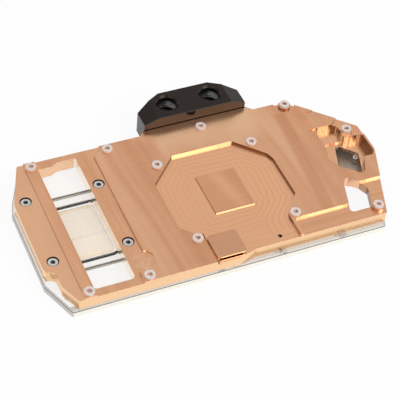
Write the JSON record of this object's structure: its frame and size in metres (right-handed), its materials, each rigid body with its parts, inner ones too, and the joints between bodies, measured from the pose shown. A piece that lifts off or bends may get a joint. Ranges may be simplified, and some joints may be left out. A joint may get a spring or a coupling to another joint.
{
  "type": "gpu water block",
  "caption": "Full-cover graphics card water block: machined copper cold plate on a clear cover, with a black two-port terminal block.",
  "frame": {"origin": "on the outer face of the clear cover, below the centre of the square of four processor screws", "axes": "+X along the block's length, +Y towards the port terminal, +Z out of the copper side, where the board goes"},
  "size_m": [0.2097, 0.1258, 0.0193],
  "materials": {
    "copper": "machined copper, bare",
    "clear": "polished clear acrylic, milled edges",
    "terminal_black": "glossy black",
    "nylon": "white nylon",
    "steel": "stainless steel",
    "seal_rubber": "black rubber cord",
    "panel_cream": "pale cream sheet",
    "insert_grey": "dark grey sheet"
  },
  "bodies": {
    "root": {"cold_plate": "copper", "clear_cover": "clear", "chamber_seal": "seal_rubber", "jet_plate": "steel", "bridge_block": "clear", "bridge_seal": "seal_rubber", "bridge_panel": "panel_cream", "bridge_screws": "steel", "terminal_block": "terminal_black", "inlet_seal": "seal_rubber", "outlet_seal": "seal_rubber", "terminal_screws": "steel", "gpu_washers": "nylon", "far_washers": "nylon", "near_washers": "nylon", "right_washers": "nylon", "near_cover_screws": "steel", "far_cover_screws": "steel", "left_cover_screws": "steel", "right_cover_screws": "steel", "insert_plate": "insert_grey", "insert_post": "nylon"}
  },
  "joints": []
}
